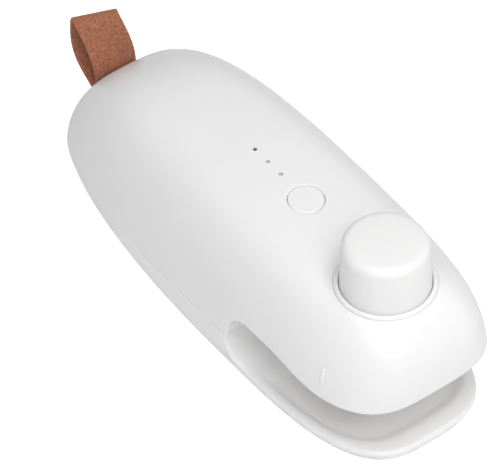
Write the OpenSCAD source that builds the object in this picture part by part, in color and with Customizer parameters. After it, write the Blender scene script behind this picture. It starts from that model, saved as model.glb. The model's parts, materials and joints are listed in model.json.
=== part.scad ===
// Handheld bag heat sealer: two moulded shells, a throat for the bag, and a press
// knob that drives a heated head down on to a silicone pad.
// Millimetres, +Z up. Origin: middle of the footprint, on the table plane.
// +X points to the jaws, +Y is the side with the charging socket.

/* [Casing] */
// Overall length from tail to nose
case_len = 150; // [148:1:152]
// Overall width
case_w = 57; // [56:0.5:59]
// Height of the dome's crown above the table
crown_z = 49.8; // [49.2:0.2:50.6]
// Height of the joint line between the two shells
seam_z = 16; // [15.5:0.5:17]
// Wall thickness of the mouldings
wall = 2; // [1.8:0.1:2.1]
// Height that the rubber base pad lifts the casing
foot_h = 0.8; // [0.6:0.1:1]

/* [Throat] */
// Distance of the throat's back wall from the middle
throat_x = 19.5; // [19:0.5:20.5]
// Height of the lower jaw's rim
throat_floor = 5; // [4.8:0.1:5.2]
// Height of the upper jaw's underside
throat_roof = 25.5; // [25:0.5:26]
// Depth of the shallow dish in the lower jaw
dish_depth = 1.4; // [1:0.1:1.6]

/* [Press knob] */
// Distance of the knob's axis from the middle
knob_x = 52; // [51.5:0.5:53]
// Radius of the knob at its foot
knob_r = 12.1; // [12:0.1:12.5]
// Height of the knob's top face
knob_top = 61; // [60.4:0.2:61.8]
// How far the knob is pushed down to seal
knob_travel = 10; // [8:0.5:10]

/* [Button and lights] */
// Distance of the power button from the middle
button_x = 18.3; // [18:0.1:19]
// Radius of the power button
button_r = 4.9; // [4.6:0.1:5]
// How far the power button is pushed
button_travel = 0.5; // [0.3:0.1:0.5]
// Position of the rearmost indicator light
light_x = -4; // [-4.4:0.1:-3.4]
// Distance from one indicator light to the next
light_pitch = 5.7; // [5.4:0.1:5.8]

/* [Battery] */
// Radius of the rechargeable cell
cell_r = 9.2; // [9:0.1:9.3]
// Length of the rechargeable cell
cell_len = 65; // [64:0.5:65.5]

/* [Strap] */
// Width of the leather strap
strap_w = 13; // [12:0.5:14]
// Length of the strap loop from its pin to its fold
strap_len = 33; // [28:1:34]
// Thickness of the leather
strap_t = 1.3; // [1.2:0.1:1.8]
// Backward lean of the strap loop at rest
strap_lean = 16; // [14:1:20]

/* [Hidden] */

$fn = 48;
eps = 0.05;

// Outline and dome shape
wide_x = 11;
nose_l = case_len / 2 - wide_x;
tail_l = case_len / 2 + wide_x;
half_w = case_w / 2;
nose_n = 3.8;
tail_n = 3.4;
foot_nose_n = 3.3;
foot_tail_n = 2.3;
crown_x = -5;
nose_drop = 3.8;
tail_drop = 1;
drop_reach = 60;
drop_power = 1.5;
nose_pq = [14, 3.5];
tail_pq = [5.4, 1.3];
side_pq = [4.7, 1.7];
tuck = 3.1;
tuck_power = 2.4;
ring_n = 64;
dome_steps = 11;
wall_steps = 5;

// Throat corners
roof_corner_r = 8;
floor_corner_r = 8;
dish_margin = 5;
plate_t = 2;

// Skirt of the upper shell, which hangs lower towards the nose
skirt_from = 34;
skirt_low = 58;
skirt_drop = 3.4;
skirt_lift = 1.6;

// Press mechanism
knob_foot = knob_top - 19;
knob_gap = 0.25;
knob_taper = 0.957;
knob_edge_r = 2.6;
knob_wall = 1.8;
collar_r = knob_r + 1.6;
collar_top = knob_top - 14.8;
collar_low = knob_top - 18.8;
stem_r = 3;
stem_boss_r = 4.8;
running_gap = 0.05;
stem_top = knob_top - 3;
head_face = 22;
head_x = 5.6;
head_y = 11;
head_top = 28.4;
cover_t = 0.3;
element_t = 0.6;
pad_top = head_face - knob_travel - running_gap;
pad_x = 4;
pad_y = 8.6;
pad_t = 3.2;
guide_floor = 29.6;
guide_t = 2;
guide_top = 39.4;
guide_r = 5;
guide_leg_y = 15;
spring_r = 6.6;
spring_wire = 0.5;
spring_turns = 7;
clip_z = 28.75;
holder_holes = [[knob_x, 7], [knob_x, -7]];
guide_holes = [[knob_x, guide_leg_y], [knob_x, -guide_leg_y]];

// Button, lights and boards
board_t = 1.6;
board_top = 40.6;
board_x = [-14, 31];
board_y = 13;
board_holes = [[-11, 10], [-11, -10], [28, 10], [28, -10]];
switch_h = 3.5;
switch_side = 6.2;
plunger_r = 1.75;
plunger_top = board_top + switch_h + button_travel + 0.8;
chip_t = 1;
led_size = [1.8, 1.2, 0.8];
pipe_r = 0.5;
pipe_bar_z = 45.4;
charge_x = -30;
charge_z = 6.2;
charge_size = [16, 10.2, 1.2];
charge_y = 11.2;
socket_size = [9, 7.4, 3.2];
socket_y = 26.3;
charge_holes = [[charge_x - 5.6, charge_y + 2], [charge_x + 5.6, charge_y + 2]];
socket_sheet = 0.4;
socket_gap = 0.25;
socket_z = charge_z + charge_size.z + 0.02 + socket_size.z / 2;

// Battery
cell_x = -26;
cell_z = foot_h + wall + 1.4 + cell_r;
tray_size = [cell_len + 5.4, 21, 9];
tab_t = 0.4;
tab_gap = 0.05;
wire_r = 0.8;

// Fasteners and feet
case_bosses = [[-48, 17], [-48, -17], [12, 19.5], [12, -19.5]];
jaw_bosses = [[33, 17], [33, -17], [66, 11], [66, -11]];
boss_r = 3.1;
boss_pilot_r = 1.05;
jaw_boss_r = 2.6;
small_pilot_r = 0.95;
board_boss_r = 2.2;
board_pilot_r = 0.85;
clear_r = 1.15;
board_hole_r = 1.1;
pad_inset = 6;
pad_sink = 0.5;

// Strap pin
pin_at = [-69, 0, 14];
pin_r = 1.5;
pin_half = 10.8;
strap_gap = 0.2;
slot_half = strap_w / 2 + 1.1;
slot_z = [10.2, 30];
cheek_t = 2.8;

// Power that keeps its sign
function spow(v, e) = sign(v) * pow(abs(v), e);
// Share of the full outline left at height fraction h of the dome
function draw_in(h, pq) = pow(1 - pow(h, pq[1]), 1 / pq[0]);
// Height of the dome's middle line at x
function crown(x) =
    crown_z - (x > crown_x ? nose_drop : tail_drop) * pow(abs(x - crown_x) / drop_reach, drop_power);
// Point of a rounded outline at angle a, with its own reach to nose, tail and side
function outline(a, nose, tail, side, n_nose, n_tail) =
    let (c = cos(a), s = sin(a), n = c >= 0 ? n_nose : n_tail)
    [wide_x + (c >= 0 ? nose : tail) * spow(c, 2 / n), side * spow(s, 2 / n)];
// Ring of the dome at height fraction h, t inside its outer face
function dome_ring(h, t) = [
    for (i = [0 : ring_n - 1])
        let (p = outline(i * 360 / ring_n, (nose_l - t) * draw_in(h, nose_pq),
                         (tail_l - t) * draw_in(h, tail_pq), (half_w - t) * draw_in(h, side_pq),
                         nose_n, tail_n))
        [p.x, p.y, seam_z + (crown(p.x) - t - seam_z) * h]
];
// Ring of the lower casing at fraction f from the seam down to the foot
function base_ring(f, t, z) = [
    for (i = [0 : ring_n - 1])
        let (in = t + tuck * pow(f, tuck_power),
             p = outline(i * 360 / ring_n, nose_l - in, tail_l - in, half_w - in,
                         nose_n + (foot_nose_n - nose_n) * f, tail_n + (foot_tail_n - tail_n) * f))
        [p.x, p.y, z]
];
// Height of the lower casing's outer wall at fraction f from the seam to the foot
function rim_z(f) = seam_z - eps - (seam_z - eps - foot_h) * f;
// Share that eases in and out between 0 and 1
function ease(t) = let (s = min(1, max(0, t))) s * s * (3 - 2 * s);
// Height of the upper shell's lower edge over x, in the throat
function skirt_z(x) =
    throat_roof - skirt_drop * ease((x - skirt_from) / (skirt_low - skirt_from))
    + skirt_lift * pow(max(0, x - skirt_low) / (case_len / 2 - skirt_low), 2);
// Whether a point is outside the dome's ring at height fraction h
function past_ring(h, x, y) =
    let (nose = x >= wide_x, n = nose ? nose_n : tail_n,
         reach = nose ? nose_l * draw_in(h, nose_pq) : tail_l * draw_in(h, tail_pq))
    pow(abs(x - wide_x) / reach, n) + pow(abs(y) / (half_w * draw_in(h, side_pq)), n) > 1;
// Height fraction of the dome's outer face over a point, by halving
function dome_h(x, y, low = 0, high = 1, steps = 16) =
    let (mid = (low + high) / 2)
    steps == 0 ? mid
    : past_ring(mid, x, y) ? dome_h(x, y, low, mid, steps - 1)
    : dome_h(x, y, mid, high, steps - 1);
// Height of the dome's outer face over a point
function dome_z(x, y) = seam_z + (crown(x) - seam_z) * dome_h(x, y);
// Height fractions of the dome's rings, closer together towards the crown
function dome_levels(count) = [for (i = [0 : count]) sin(89 * i / count)];

// Points along a smooth bend from a to d that leaves a towards b and reaches d from c
function bend(a, b, c, d, first = 0, steps = 10) = [
    for (i = [first : steps])
        let (t = i / steps, u = 1 - t)
        pow(u, 3) * a + 3 * u * u * t * b + 3 * u * t * t * c + pow(t, 3) * d
];

// Solid through a stack of rings, closed by a fan at each end
module loft(rings) {
    n = len(rings[0]);
    m = len(rings);
    base = n * m;
    points = concat([for (r = rings) each r],
                    [[wide_x, 0, rings[0][0].z], [wide_x, 0, rings[m - 1][floor(n / 4)].z]]);
    sides = [for (j = [0 : m - 2]) for (i = [0 : n - 1])
        let (a = j * n + i, b = j * n + (i + 1) % n)
        each [[a, a + n, b], [b, a + n, b + n]]];
    low_cap = [for (i = [0 : n - 1]) [base, i, (i + 1) % n]];
    high_cap = [for (i = [0 : n - 1]) [base + 1, (m - 1) * n + (i + 1) % n, (m - 1) * n + i]];
    polyhedron(points, concat(sides, low_cap, high_cap));
}

// Bowl between an outer and an inner stack of rings that share their rim level
module bowl(outer, inner) {
    n = len(outer[0]);
    m = len(outer);
    k = len(inner);
    first_in = n * m;
    tips = n * (m + k);
    points = concat([for (r = outer) each r], [for (r = inner) each r],
                    [[wide_x, 0, outer[m - 1][floor(n / 4)].z],
                     [wide_x, 0, inner[k - 1][floor(n / 4)].z]]);
    outside = [for (j = [0 : m - 2]) for (i = [0 : n - 1])
        let (a = j * n + i, b = j * n + (i + 1) % n)
        each [[a, a + n, b], [b, a + n, b + n]]];
    inside = [for (j = [0 : k - 2]) for (i = [0 : n - 1])
        let (a = first_in + j * n + i, b = first_in + j * n + (i + 1) % n)
        each [[a, b, a + n], [b, b + n, a + n]]];
    rim = [for (i = [0 : n - 1])
        let (a = i, b = (i + 1) % n)
        each [[a, b, first_in + a], [b, first_in + b, first_in + a]]];
    outer_cap = [for (i = [0 : n - 1]) [tips, (m - 1) * n + (i + 1) % n, (m - 1) * n + i]];
    inner_cap = [for (i = [0 : n - 1])
        [tips + 1, first_in + (k - 1) * n + i, first_in + (k - 1) * n + (i + 1) % n]];
    polyhedron(points, concat(outside, inside, rim, outer_cap, inner_cap));
}

// Side view of the throat, grown outwards by t
module throat_profile(t) {
    far = case_len;
    translate([throat_x - t, throat_floor - t + floor_corner_r])
        square([far, throat_roof + 2 * t - throat_floor - roof_corner_r - floor_corner_r]);
    translate([throat_x - t + roof_corner_r, throat_roof + t - 2 * roof_corner_r])
        square([far, 2 * roof_corner_r]);
    translate([throat_x - t + floor_corner_r, throat_floor - t])
        square([far, 2 * floor_corner_r]);
    translate([throat_x - t + roof_corner_r, throat_roof + t - roof_corner_r])
        circle(roof_corner_r);
    translate([throat_x - t + floor_corner_r, throat_floor - t + floor_corner_r])
        circle(floor_corner_r);
}

// Side view drawn across the whole width
module across() {
    translate([0, case_w, 0])
        rotate([90, 0, 0])
            linear_extrude(2 * case_w) children();
}

// Throat, grown outwards by t
module throat(t = 0) {
    across() throat_profile(t);
}

// Strip of side view between the roof of the throat and the upper shell's lower edge
module skirt_profile() {
    nose_x = case_len / 2 + 3;
    polygon(concat([for (x = [skirt_from : 3 : nose_x]) [x, skirt_z(x)]],
                   [[nose_x, throat_roof + 1], [skirt_from, throat_roof + 1]]));
}

// Box given by its x, y and z limits
module span(x, y, z) {
    translate([x[0], y[0], z[0]]) cube([x[1] - x[0], y[1] - y[0], z[1] - z[0]]);
}

// Upright round bar from z0 to z1
module bar(at, r, z0, z1) {
    translate([at.x, at.y, z0]) cylinder(h = z1 - z0, r = r);
}

// Upright block centred on the press axis
module head_block(hx, hy, z0, z1) {
    span([knob_x - hx, knob_x + hx], [-hy, hy], [z0, z1]);
}

// Pan-head screw pointing up, with its head's lower face at z0
module screw(at, head_r, head_h, shank_r, z0, z1) {
    bar(at, head_r, z0, z0 + head_h);
    bar(at, shank_r, z0, z1);
}

// Row of places of the indicator lights
light_at = [for (i = [0 : 2]) [light_x + i * light_pitch, 0]];

module upper_shell() {
    color("whitesmoke")
        difference() {
            union() {
                bowl([for (h = dome_levels(dome_steps)) dome_ring(h, 0)],
                     [for (h = dome_levels(dome_steps - 2)) dome_ring(h, wall)]);
                intersection() {
                    loft([for (h = dome_levels(dome_steps - 3)) dome_ring(h, wall / 2)]);
                    union() {
                        for (p = case_bosses) bar(p, boss_r, seam_z, crown_z);
                        for (p = jaw_bosses)
                            bar(p, jaw_boss_r, throat_roof + plate_t + eps, crown_z);
                        for (p = board_holes) bar(p, board_boss_r, board_top + eps, crown_z);
                    }
                }
            }
            difference() {
                throat();
                across() skirt_profile();
            }
            bar([knob_x, 0], collar_r + running_gap, collar_low - 1, knob_top);
            bar([button_x, 0], button_r + 0.15, board_top, knob_top);
            for (p = light_at) bar(p, pipe_r + 0.1, board_top, knob_top);
            for (p = case_bosses) bar(p, boss_pilot_r, seam_z - 1, seam_z + 11);
            for (p = jaw_bosses) bar(p, small_pilot_r, throat_roof, throat_roof + 9);
            for (p = board_holes) bar(p, board_pilot_r, board_top - 1, board_top + 4.4);
            span([-case_len, pin_at.x + 6], [-slot_half, slot_half], slot_z);
        }
}

module lower_shell() {
    floor_z = foot_h + wall;
    cavity_top = seam_z + 1;
    levels = [for (i = [0 : wall_steps]) 1 - pow(i / wall_steps, 1.4)];
    color("gainsboro")
        difference() {
            union() {
                difference() {
                    loft([for (f = levels) base_ring(f, 0, rim_z(f))]);
                    intersection() {
                        loft([for (f = levels)
                            base_ring(f, wall, cavity_top - (cavity_top - floor_z) * f)]);
                        difference() {
                            span([-case_len, throat_x + floor_corner_r], [-case_w, case_w],
                                 [0, case_w]);
                            throat(plate_t);
                        }
                    }
                }
                intersection() {
                    loft([for (f = levels) base_ring(f, wall / 2, rim_z(f))]);
                    union() {
                        for (p = case_bosses) bar(p, boss_r + 0.4, floor_z - eps, case_w);
                        for (y = [-1, 1]) pin_cheek(y * (slot_half + cheek_t / 2 + 0.2));
                        for (p = charge_holes) bar(p, 2, floor_z - eps, charge_z - eps);
                    }
                }
            }
            throat();
            intersection() {
                loft([base_ring(0.8, dish_margin, throat_floor - dish_depth),
                      base_ring(0.8, dish_margin, throat_floor + 1)]);
                span([throat_x + floor_corner_r + 2, case_len], [-case_w, case_w],
                     [0, case_w]);
            }
            for (p = case_bosses) {
                bar(p, 1.2, 0, seam_z + 1);
                bar(p, 2.4, 0, 6);
            }
            base_slab(pad_inset - 0.15, 0, foot_h + pad_sink);
            for (p = charge_holes) bar(p, board_pilot_r, floor_z + 0.4, charge_z + 1);
            for (p = holder_holes) {
                bar(p, 1.1, 0, throat_floor);
                bar(p, 2.1, 0, foot_h + pad_sink + 1.3);
            }
            span([-case_len, pin_at.x + 6], [-slot_half, slot_half], slot_z);
            translate([pin_at.x, 0, pin_at.z])
                rotate([90, 0, 0])
                    cylinder(h = 2 * pin_half + 0.2, r = pin_r + running_gap, center = true);
            socket_bar(socket_gap, socket_y - 6, case_w);
        }
}

// Flat slab with the outline of the casing's foot, drawn in by t
module base_slab(t, z0, z1) {
    translate([0, 0, z0])
        linear_extrude(z1 - z0)
            polygon([for (p = base_ring(1, t, 0)) [p.x, p.y]]);
}

// Upright block that holds one end of the strap pin
module pin_cheek(y) {
    span([pin_at.x - 2.4, pin_at.x + 3], [y - cheek_t / 2, y + cheek_t / 2],
         [foot_h + wall - eps, case_w]);
}

// Flat-oval bar along Y through the charging socket's middle, grown outwards by t
module socket_bar(t, y0, y1) {
    r = socket_size.z / 2 + t;
    reach = (socket_size.x - socket_size.z) / 2;
    for (s = [-1, 1])
        translate([charge_x + s * reach, y1, socket_z])
            rotate([90, 0, 0]) cylinder(h = y1 - y0, r = r);
    span([charge_x - reach, charge_x + reach], [y0, y1], [socket_z - r, socket_z + r]);
}

module jaw_plate() {
    top_h = (throat_roof + plate_t - seam_z) / (crown(throat_x) - seam_z);
    ring = dome_ring(top_h, wall + 0.4);
    color("whitesmoke")
        difference() {
            intersection() {
                translate([0, 0, seam_z + eps])
                    linear_extrude(throat_roof + plate_t - seam_z - eps)
                        polygon([for (p = ring) [p.x, p.y]]);
                throat(plate_t);
            }
            throat();
            head_block(head_x + cover_t + 0.4, head_y + 0.4, 0, case_w);
            for (p = jaw_bosses) bar(p, clear_r, 0, case_w);
            for (p = guide_holes) bar(p, clear_r, 0, case_w);
        }
}

module knob_collar() {
    bead = 0.75;
    color("whitesmoke")
        translate([knob_x, 0, 0])
            rotate_extrude($fn = 96)
                polygon(concat(
                    [[knob_r + knob_gap, collar_low], [collar_r, collar_low]],
                    [for (a = [0 : 15 : 90])
                        [collar_r - bead * (1 - cos(a)), collar_top - bead * (1 - sin(a))]],
                    [for (a = [90 : 15 : 180])
                        [knob_r + knob_gap + bead * (1 + cos(a)), collar_top - bead * (1 - sin(a))]]));
}

module press_knob() {
    top_r = knob_r * knob_taper;
    roof = knob_top - 2;
    color("white")
        translate([knob_x, 0, 0])
            difference() {
                rotate_extrude($fn = 96)
                    polygon(concat(
                        [[0, knob_foot], [knob_r, knob_foot], [knob_r, collar_low]],
                        [for (a = [0 : 15 : 90])
                            [top_r - knob_edge_r * (1 - cos(a)),
                             knob_top - knob_edge_r * (1 - sin(a))]],
                        [[0, knob_top]]));
                difference() {
                    translate([0, 0, knob_foot - 1])
                        cylinder(h = roof - knob_foot + 1, r = top_r - knob_wall);
                    translate([0, 0, guide_top + knob_travel + 0.4])
                        cylinder(h = knob_top, r = stem_boss_r);
                }
                cylinder(h = stem_top + eps, r = stem_r + running_gap);
            }
}

module plunger_stem() {
    color("silver")
        difference() {
            bar([knob_x, 0], stem_r, head_top - 2.4, stem_top);
            difference() {
                bar([knob_x, 0], stem_r + 1, clip_z, clip_z + 0.6);
                bar([knob_x, 0], stem_r - 0.6, clip_z, clip_z + 0.6);
            }
        }
}

module stem_clip() {
    color("dimgray")
        difference() {
            bar([knob_x, 0], stem_r + 1.6, clip_z + 0.05, clip_z + 0.55);
            bar([knob_x, 0], stem_r - 0.55, 0, case_w);
            span([knob_x, knob_x + 9], [-1.6, 1.6], [0, case_w]);
        }
}

module plunger_guide() {
    color("lightgray")
        difference() {
            union() {
                head_block(9, guide_leg_y + 2.2, guide_floor, guide_floor + guide_t);
                for (y = [-1, 1])
                    span([knob_x - 9, knob_x + 9], [y * guide_leg_y - 2.2, y * guide_leg_y + 2.2],
                         [throat_roof + plate_t + eps, guide_floor + guide_t]);
                bar([knob_x, 0], guide_r, guide_floor, guide_top);
            }
            bar([knob_x, 0], stem_r + running_gap, 0, case_w);
            for (p = guide_holes) bar(p, small_pilot_r, 0, guide_floor + guide_t - 0.6);
        }
}

module return_spring() {
    low = guide_floor + guide_t + spring_wire + eps;
    high = knob_top - 2 - spring_wire - eps;
    steps = 14;
    sides = 6;
    count = spring_turns * steps;
    lift = function(u) low + (high - low) * u;
    ring = function(i) let (a = i * 360 / steps, z = lift(i / count)) [
        for (k = [0 : sides - 1])
            let (b = k * 360 / sides, r = spring_r + spring_wire * cos(b))
            [knob_x + r * cos(a), r * sin(a), z + spring_wire * sin(b)]
    ];
    points = [for (i = [0 : count]) each ring(i)];
    skin = [for (i = [0 : count - 1]) for (k = [0 : sides - 1])
        let (a = i * sides + k, b = i * sides + (k + 1) % sides)
        each [[a, b, a + sides], [b, b + sides, a + sides]]];
    start = [for (k = [1 : sides - 2]) [0, k + 1, k]];
    finish = [for (k = [1 : sides - 2]) [count * sides, count * sides + k, count * sides + k + 1]];
    color("silver") polyhedron(points, concat(skin, start, finish));
}

module heater_carrier() {
    color("dimgray")
        difference() {
            union() {
                head_block(head_x, head_y, head_face + cover_t + element_t, head_top - 2);
                bar([knob_x, 0], stem_r + 1.6, head_face + cover_t + element_t, head_top);
            }
            bar([knob_x, 0], stem_r + running_gap, head_top - 2.45, case_w);
            head_block(2.1, pad_y + 0.1, 0, head_face + cover_t + 2 * element_t);
        }
}

module heating_element() {
    color("goldenrod")
        head_block(2, pad_y, head_face + cover_t + eps, head_face + cover_t + 2 * element_t - eps);
}

module ptfe_cover() {
    color("tan")
        difference() {
            head_block(head_x + cover_t, head_y - 1, head_face, head_top - 3);
            head_block(head_x + running_gap, head_y, head_face + cover_t, case_w);
        }
}

module pad_holder() {
    color("whitesmoke")
        difference() {
            head_block(pad_x + 1.8, pad_y + 2.2, throat_floor - dish_depth + eps, pad_top - 1);
            head_block(pad_x + running_gap, pad_y + running_gap, pad_top - pad_t, case_w);
            for (p = holder_holes) bar(p, 0.9, 0, pad_top - pad_t - 0.5);
        }
}

module silicone_pad() {
    color("orangered")
        head_block(pad_x, pad_y, pad_top - pad_t + eps, pad_top);
}

module power_button() {
    top = dome_z(button_x, 0) - 0.05;
    color("white") {
        bar([button_x, 0], button_r, plunger_top + 0.15, top);
        bar([button_x, 0], button_r + 1.2, plunger_top + 0.15, plunger_top + 0.95);
        bar([button_x, 0], plunger_r - 0.2, plunger_top + 0.02, plunger_top + 0.15);
    }
}

module tact_switch() {
    s = switch_side / 2;
    color("dimgray")
        difference() {
            span([button_x - s, button_x + s], [-s, s], [board_top + 0.02, board_top + switch_h]);
            bar([button_x, 0], plunger_r + running_gap, board_top + 1, case_w);
        }
}

module switch_plunger() {
    color("black") bar([button_x, 0], plunger_r, board_top + 1.8, plunger_top);
}

module light_pipe() {
    last = light_at[2];
    color("lightcyan") {
        span([light_x - 1.6, last.x + 1.6], [-1.4, 1.4], [pipe_bar_z, pipe_bar_z + 1]);
        for (p = light_at) bar(p, pipe_r, board_top + led_size.z + 0.4, dome_z(p.x, 0) - 0.1);
    }
}

module indicator_leds() {
    color("ivory")
        for (p = light_at)
            span([p.x - led_size.x / 2, p.x + led_size.x / 2], [-led_size.y / 2, led_size.y / 2],
                 [board_top + 0.02, board_top + led_size.z]);
}

module main_board() {
    color("seagreen")
        difference() {
            span(board_x, [-board_y, board_y], [board_top - board_t, board_top]);
            for (p = board_holes) bar(p, board_hole_r, 0, case_w);
        }
}

module board_chips() {
    under = board_top - board_t - 0.02;
    color("black") {
        span([4, 11], [-3.5, 3.5], [under - chip_t, under]);
        span([-6, -1], [3, 8], [under - chip_t, under]);
        span([16, 21], [-8.5, -3.5], [under - 1.5 * chip_t, under]);
    }
}

module charge_board() {
    color("seagreen")
        difference() {
            span([charge_x - charge_size.x / 2, charge_x + charge_size.x / 2],
                 [charge_y, charge_y + charge_size.y], [charge_z, charge_z + charge_size.z]);
            for (p = charge_holes) bar(p, board_hole_r, 0, case_w);
        }
}

module charge_socket() {
    back = socket_y - socket_size.y;
    tongue = socket_size.x / 2 - 1.4;
    color("silver") {
        difference() {
            socket_bar(0, back, socket_y);
            socket_bar(-socket_sheet, back + 1, socket_y + 1);
        }
        span([charge_x - tongue, charge_x + tongue], [back + 0.5, socket_y - 1],
             [socket_z - 0.3, socket_z + 0.3]);
    }
}

module battery_cell() {
    color("steelblue")
        translate([cell_x, 0, cell_z])
            rotate([0, 90, 0]) cylinder(h = cell_len, r = cell_r, center = true);
}

module battery_tray() {
    color("lightgray")
        difference() {
            span([cell_x - tray_size.x / 2, cell_x + tray_size.x / 2],
                 [-tray_size.y / 2, tray_size.y / 2],
                 [foot_h + wall + eps, foot_h + wall + eps + tray_size.z]);
            translate([cell_x, 0, cell_z])
                rotate([0, 90, 0]) cylinder(h = cell_len + 1.6, r = cell_r + 0.15, center = true);
        }
}

module cell_tabs() {
    color("silver")
        for (s = [-1, 1])
            translate([cell_x + s * (cell_len / 2 + tab_t / 2 + tab_gap), 0, cell_z + 1])
                cube([tab_t, 8, 12], center = true);
}

// Round wire along a list of points, with no two neighbours in line with Y
module wire(path, r) {
    sides = 10;
    last = len(path) - 1;
    ring = function(i)
        let (d = path[min(i + 1, last)] - path[max(i - 1, 0)],
             u = cross(d, [0, 1, 0]) / norm(cross(d, [0, 1, 0])),
             v = cross(u, d) / norm(d))
        [for (k = [0 : sides - 1])
            path[i] + r * cos(k * 360 / sides) * u + r * sin(k * 360 / sides) * v];
    points = [for (i = [0 : last]) each ring(i)];
    skin = [for (i = [0 : last - 1]) for (k = [0 : sides - 1])
        let (a = i * sides + k, b = i * sides + (k + 1) % sides)
        each [[a, b, a + sides], [b, b + sides, a + sides]]];
    start = [for (k = [1 : sides - 2]) [0, k + 1, k]];
    finish = [for (k = [1 : sides - 2]) [last * sides, last * sides + k, last * sides + k + 1]];
    polyhedron(points, concat(skin, start, finish));
}

module battery_wires() {
    tab_off = cell_len / 2 + tab_t + tab_gap + wire_r + running_gap;
    front = [cell_x + tab_off, 2, cell_z + 4];
    rear = [cell_x - tab_off, 0, cell_z + 4];
    over = [cell_x - cell_len / 5, 3, cell_z + cell_r + 5];
    under = board_top - board_t - 0.4;
    up = [0, 0, 10];
    swing = [-4, 0, 14];
    pos_end = [14, 9, under];
    neg_end = [2, 9, under];
    color("firebrick") wire(bend(front, front + up, pos_end - up, pos_end), wire_r);
    color("black")
        wire(concat(bend(rear, rear + swing, over - [16, 0, 0], over),
                    bend(over, over + [20, 1, 0], neg_end - up, neg_end, 1)), wire_r);
}

module case_screws() {
    color("silver") for (p = case_bosses) screw(p, 2.2, 1.4, 1, 4.55, seam_z + 9.5);
}

module jaw_screws() {
    color("silver")
        for (p = jaw_bosses) screw(p, 1.8, 1, 0.9, throat_roof - 1.05, throat_roof + 8);
}

module guide_screws() {
    color("silver") {
        for (p = guide_holes) screw(p, 1.8, 1, 0.9, throat_roof - 1.05, guide_floor + 0.8);
        for (p = holder_holes) screw(p, 1.9, 1.2, 0.85, foot_h + pad_sink + 0.05, pad_top - pad_t - 0.8);
    }
}

module board_screws() {
    color("silver") {
        for (p = board_holes) screw(p, 1.7, 1.2, 0.8, board_top - board_t - 1.25, board_top + 3.8);
        for (p = charge_holes) {
            bar(p, 1.7, charge_z + charge_size.z + eps, charge_z + charge_size.z + 1.2);
            bar(p, 0.8, foot_h + wall + 0.7, charge_z + charge_size.z + 1);
        }
    }
}

module base_pad() {
    color("dimgray") base_slab(pad_inset, 0, foot_h + pad_sink - 0.02);
}

module strap_pin() {
    color("silver")
        translate(pin_at)
            rotate([90, 0, 0]) cylinder(h = 2 * pin_half, r = pin_r, center = true);
}

module wrist_strap() {
    loop_r = pin_r + strap_gap;
    fold_r = 0.9;
    fold_at = [0, strap_len - fold_r - strap_t];
    color("sienna")
        translate(pin_at)
            rotate([0, -strap_lean, 0])
                rotate([90, 0, 0])
                    linear_extrude(strap_w, center = true)
                        difference() {
                            hull() {
                                circle(loop_r + strap_t, $fn = 32);
                                translate(fold_at) circle(fold_r + strap_t, $fn = 32);
                            }
                            hull() {
                                circle(loop_r, $fn = 32);
                                translate(fold_at) circle(fold_r, $fn = 32);
                            }
                        }
}

upper_shell();
lower_shell();
jaw_plate();
knob_collar();
press_knob();
plunger_stem();
plunger_guide();
return_spring();
stem_clip();
heater_carrier();
heating_element();
ptfe_cover();
pad_holder();
silicone_pad();
power_button();
tact_switch();
switch_plunger();
light_pipe();
indicator_leds();
main_board();
board_chips();
charge_board();
charge_socket();
battery_cell();
battery_tray();
cell_tabs();
battery_wires();
case_screws();
jaw_screws();
guide_screws();
board_screws();
base_pad();
strap_pin();
wrist_strap();
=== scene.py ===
"""Looks of the handheld bag sealer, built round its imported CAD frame. Lengths in mm until a mesh is made."""

import json
import math

import bmesh
import bpy
import numpy as np
from mathutils import Matrix, Vector


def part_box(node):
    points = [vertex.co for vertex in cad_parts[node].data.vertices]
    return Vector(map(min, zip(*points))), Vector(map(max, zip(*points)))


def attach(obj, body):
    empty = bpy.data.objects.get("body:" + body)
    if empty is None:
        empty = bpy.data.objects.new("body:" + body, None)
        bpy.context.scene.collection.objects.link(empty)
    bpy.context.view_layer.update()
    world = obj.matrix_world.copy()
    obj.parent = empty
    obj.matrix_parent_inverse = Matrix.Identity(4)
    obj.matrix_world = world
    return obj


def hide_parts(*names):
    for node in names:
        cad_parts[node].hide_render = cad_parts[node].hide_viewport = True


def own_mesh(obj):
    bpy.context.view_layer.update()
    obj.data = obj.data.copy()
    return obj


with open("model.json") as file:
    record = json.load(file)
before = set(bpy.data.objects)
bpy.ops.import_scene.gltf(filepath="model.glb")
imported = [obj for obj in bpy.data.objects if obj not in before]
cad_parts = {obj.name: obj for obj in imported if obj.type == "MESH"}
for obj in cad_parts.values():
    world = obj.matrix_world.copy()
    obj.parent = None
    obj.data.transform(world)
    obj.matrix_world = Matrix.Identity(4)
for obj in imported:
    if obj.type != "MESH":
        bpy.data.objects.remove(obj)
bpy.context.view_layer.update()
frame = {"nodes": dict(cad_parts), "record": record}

MM = 0.001


def box_mm(node):
    """Lowest and highest corner of a CAD node, in mm."""
    lo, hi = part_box(node)
    return np.array(lo) / MM, np.array(hi) / MM


# Sizes read from the frame
shell_lo, shell_hi = box_mm("upper_shell")
base_lo = box_mm("lower_shell")[0]
plate_lo, plate_hi = box_mm("jaw_plate")
knob_lo, knob_hi = box_mm("press_knob")
collar_lo, collar_hi = box_mm("knob_collar")
button_lo, button_hi = box_mm("power_button")
heater_lo, heater_hi = box_mm("heater_carrier")
stem_lo, stem_hi = box_mm("plunger_stem")
guide_hi = box_mm("plunger_guide")[1]
pin_lo, pin_hi = box_mm("strap_pin")
strap_lo, strap_hi = box_mm("wrist_strap")
pipe_lo, pipe_hi = box_mm("light_pipe")
holder_lo, holder_hi = box_mm("pad_holder")
pad_lo, pad_hi = box_mm("silicone_pad")
spring_lo, spring_hi = box_mm("return_spring")
socket_lo, socket_hi = box_mm("charge_socket")
screw_lo = box_mm("case_screws")[0]

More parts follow.
